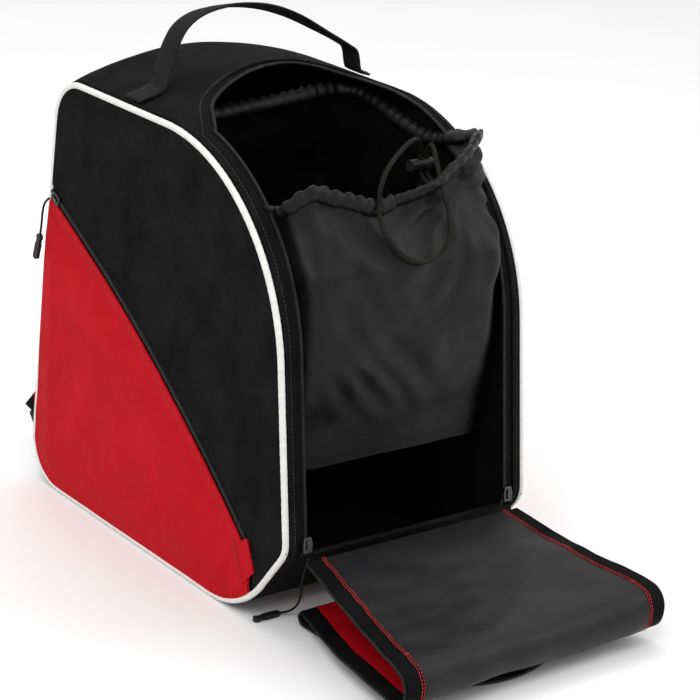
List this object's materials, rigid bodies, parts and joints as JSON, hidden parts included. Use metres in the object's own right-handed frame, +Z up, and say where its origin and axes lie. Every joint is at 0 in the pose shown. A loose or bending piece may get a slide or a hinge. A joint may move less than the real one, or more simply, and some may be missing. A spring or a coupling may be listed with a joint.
{
  "type": "ski boot bag",
  "caption": "Upright boot and helmet bag with its front flap folded open, red side pockets, white piping, a drawstring helmet compartment and a webbing handle.",
  "frame": {"origin": "On the floor under the middle of the bag, at the centre of the base's resting face.", "axes": "+X to the right seen from the front, +Y from the front opening to the back panel, +Z up."},
  "size_m": [0.2948, 0.6283, 0.5043],
  "materials": {
    "black_twill": "matte twill weave",
    "red_fabric": "coated plain weave",
    "black_satin": "satin nylon",
    "grey_lining": "smooth coated lining",
    "black_tape": "ribbed tape",
    "white_piping": "soft vinyl",
    "gunmetal": "dark plated",
    "black_rubber": "moulded",
    "black_cord": "braided",
    "black_plastic": "moulded",
    "webbing": "ribbed webbing",
    "foam": "closed cell foam",
    "board": "sheet plastic",
    "spring_steel": "drawn wire"
  },
  "bodies": {
    "root": {"front_sill": "black_twill", "front_strip_left": "black_twill", "front_strip_right": "black_twill", "top_panel": "black_twill", "back_panel": "black_twill", "base_panel": "black_twill", "base_board": "board", "back_foam": "foam", "main_zip": "black_tape", "pocket_zip_left": "black_tape", "pocket_zip_right": "black_tape", "side_panel_left": "black_twill", "side_panel_right": "black_twill", "pocket_panel_left": "red_fabric", "pocket_panel_right": "red_fabric", "piping_left": "white_piping", "piping_right": "white_piping", "side_lining": "grey_lining", "strap_webbing_left": "webbing", "strap_webbing_right": "webbing", "helmet_compartment": "black_satin", "drawcord_hem": "black_satin", "drawcord": "black_cord", "handle_ends": "webbing", "strap_anchors": "webbing"},
    "flap_lower": {"flap_lower_panel": "red_fabric", "flap_lower_lining": "grey_lining", "flap_lower_border": "black_tape", "flap_front_fold": "grey_lining"},
    "flap_middle": {"flap_middle_panel": "red_fabric", "flap_middle_lining": "grey_lining", "flap_middle_border": "black_tape"},
    "flap_upper": {"flap_upper_panel": "red_fabric", "flap_upper_lining": "grey_lining", "flap_upper_border": "black_tape", "flap_back_fold": "black_tape"},
    "flap_tip": {"flap_tip_panel": "red_fabric", "flap_tip_lining": "grey_lining", "flap_tip_border": "black_tape"},
    "main_slider_left": {"main_slider_left": "gunmetal", "main_pull_left": "black_cord", "main_tab_left": "black_rubber"},
    "pocket_slider_left": {"pocket_slider_left": "gunmetal"},
    "pocket_pull_left": {"pocket_pull_left": "black_cord", "pocket_tab_left": "black_rubber"},
    "shoulder_strap_left": {"shoulder_pad_left": "webbing", "ladder_lock_left": "black_plastic"},
    "main_slider_right": {"main_slider_right": "gunmetal", "main_pull_right": "black_cord", "main_tab_right": "black_rubber"},
    "pocket_slider_right": {"pocket_slider_right": "gunmetal"},
    "pocket_pull_right": {"pocket_pull_right": "black_cord", "pocket_tab_right": "black_rubber"},
    "shoulder_strap_right": {"shoulder_pad_right": "webbing", "ladder_lock_right": "black_plastic"},
    "carry_handle": {"carry_handle": "webbing", "handle_feet": "webbing"},
    "cord_lock": {"cord_lock_barrel": "black_plastic", "cord_lock_spring": "spring_steel"},
    "cord_lock_plunger": {"cord_lock_plunger": "black_plastic"}
  },
  "joints": [
    {"name": "flap_hinge", "type": "hinge", "parent": "root", "child": "flap_lower", "pos_m": [0, -0.223, 0.078], "axis": [-1, 0, 0], "range_deg": [0, 107], "deforming": ["drawcord"]},
    {"name": "flap_front_fold", "type": "hinge", "parent": "flap_lower", "child": "flap_middle", "pos_m": [0, -0.36933, 0.03054], "axis": [-1, 0, 0], "range_deg": [0, 176], "deforming": ["flap_front_fold"]},
    {"name": "flap_bend", "type": "hinge", "parent": "flap_middle", "child": "flap_upper", "pos_m": [0, -0.28333, 0.01454], "axis": [-1, 0, 0], "range_deg": [0, 24]},
    {"name": "flap_back_fold", "type": "hinge", "parent": "flap_upper", "child": "flap_tip", "pos_m": [0, -0.19733, 0.00877], "axis": [1, 0, 0], "range_deg": [0, 150], "deforming": ["flap_back_fold"]},
    {"name": "main_zip_slide_left", "type": "slide", "parent": "root", "child": "main_slider_left", "axis": [0, 0.1244, 0.9922], "range_m": [0, 0.15], "deforming": ["main_pull_left", "main_tab_left"]},
    {"name": "pocket_zip_slide_left", "type": "hinge", "parent": "root", "child": "pocket_slider_left", "pos_m": [0, 0.7569, -0.91692], "axis": [1, 0, 0], "range_deg": [0, 16]},
    {"name": "pocket_pull_swing_left", "type": "hinge", "parent": "pocket_slider_left", "child": "pocket_pull_left", "pos_m": [-0.141, 0.184, 0.3], "axis": [1, 0, 0], "range_deg": [-60, 60]},
    {"name": "shoulder_strap_lift_left", "type": "hinge", "parent": "root", "child": "shoulder_strap_left", "pos_m": [-0.058, 0.20314, 0.38702], "axis": [1, 0, 0], "range_deg": [0, 25], "deforming": ["strap_webbing_left"]},
    {"name": "main_zip_slide_right", "type": "slide", "parent": "root", "child": "main_slider_right", "axis": [0, 0.1244, 0.9922], "range_m": [0, 0.15], "deforming": ["main_pull_right", "main_tab_right"]},
    {"name": "pocket_zip_slide_right", "type": "hinge", "parent": "root", "child": "pocket_slider_right", "pos_m": [0, 0.7569, -0.91692], "axis": [1, 0, 0], "range_deg": [0, 16]},
    {"name": "pocket_pull_swing_right", "type": "hinge", "parent": "pocket_slider_right", "child": "pocket_pull_right", "pos_m": [0.141, 0.184, 0.3], "axis": [1, 0, 0], "range_deg": [-60, 60]},
    {"name": "shoulder_strap_lift_right", "type": "hinge", "parent": "root", "child": "shoulder_strap_right", "pos_m": [0.058, 0.20314, 0.38702], "axis": [1, 0, 0], "range_deg": [0, 25], "deforming": ["strap_webbing_right"]},
    {"name": "handle_swing", "type": "hinge", "parent": "root", "child": "carry_handle", "pos_m": [0, 0.06, 0.431], "axis": [1, 0, 0], "range_deg": [-45, 45], "deforming": ["handle_feet"]},
    {"name": "cord_lock_slide", "type": "slide", "parent": "root", "child": "cord_lock", "axis": [0, 0, 1], "range_m": [0, 0.004]},
    {"name": "cord_lock_press", "type": "slide", "parent": "cord_lock", "child": "cord_lock_plunger", "axis": [-1, 0, 0], "range_m": [0, 0.0025], "stiffness_N_per_m": 400, "springref_m": -0.002, "deforming": ["cord_lock_spring"]}
  ],
  "couplings": [
    {"joint": "flap_bend", "follows": "flap_back_fold", "ratio": 0.16}
  ]
}
